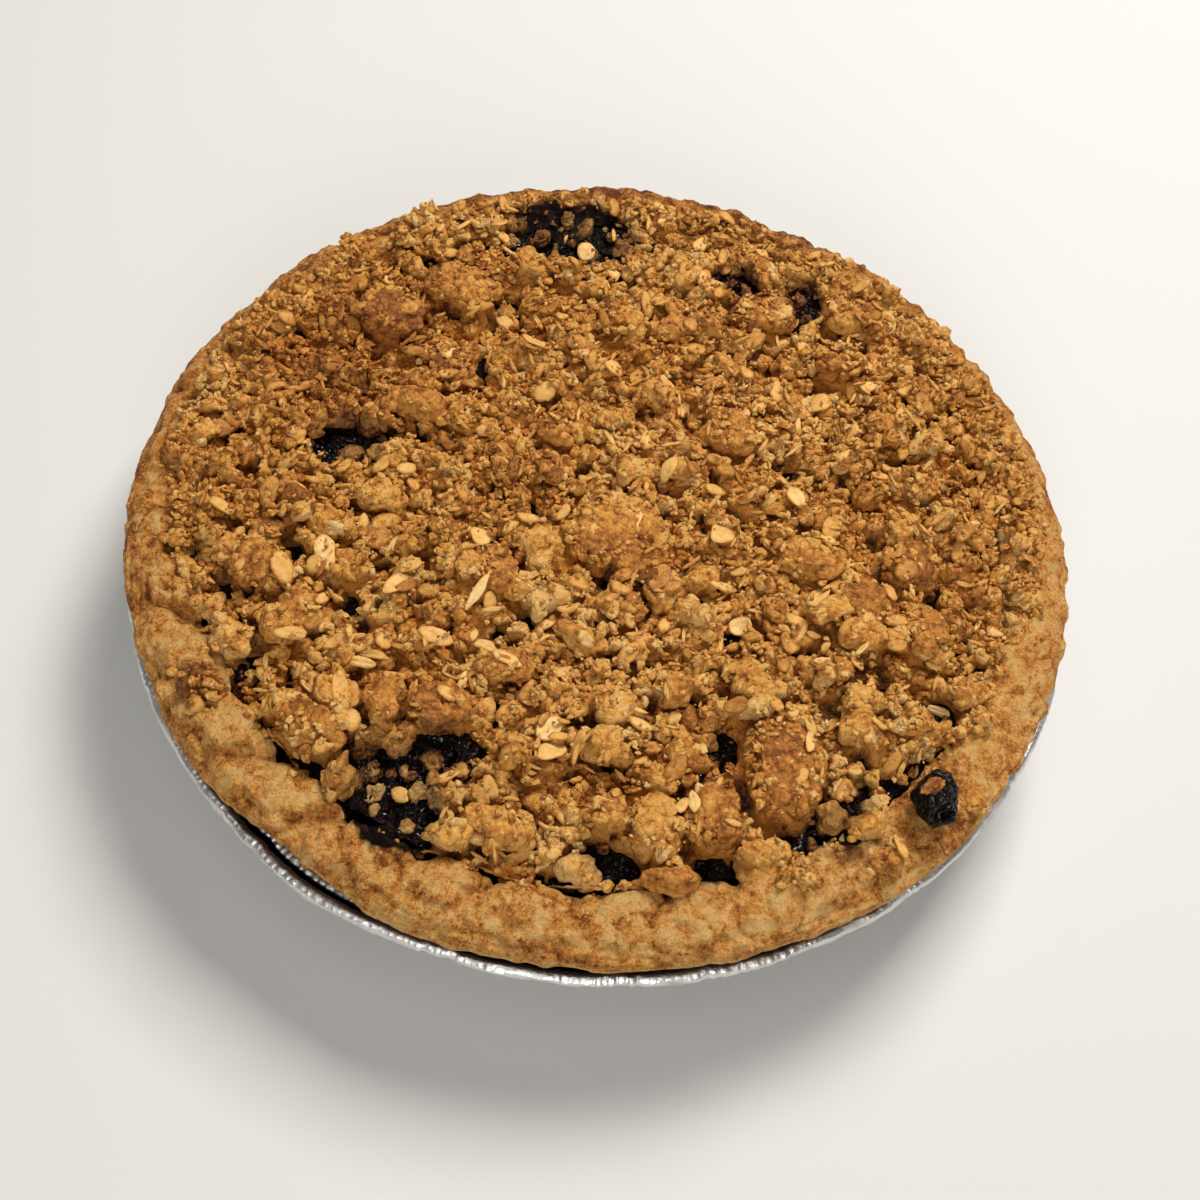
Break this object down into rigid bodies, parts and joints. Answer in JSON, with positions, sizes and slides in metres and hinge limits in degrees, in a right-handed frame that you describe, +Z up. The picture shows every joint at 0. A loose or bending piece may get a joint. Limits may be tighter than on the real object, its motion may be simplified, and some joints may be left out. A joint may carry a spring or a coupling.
{
  "type": "blueberry crumble pie in a foil tin",
  "caption": "Round baked pie with a pinched pastry rim, an oat crumble top with bare patches of dark berry filling, and its shallow foil tin.",
  "frame": {"origin": "centre of the tin's flat base, on the surface that the pie stands on", "axes": "+Z up along the pie's axis, -Y towards the person looking at it, +X to their right"},
  "size_m": [0.24, 0.24, 0.0543],
  "materials": {
    "foil": "thin bright crimped aluminium foil, slightly creased",
    "pastry": null,
    "filling": null,
    "crumble": null,
    "berry_skin": null
  },
  "bodies": {
    "root": {"foil_tin": "foil", "pastry_crust": "pastry", "blueberry_filling": "filling", "oat_crumble": "crumble", "blueberry": "berry_skin"}
  },
  "joints": []
}
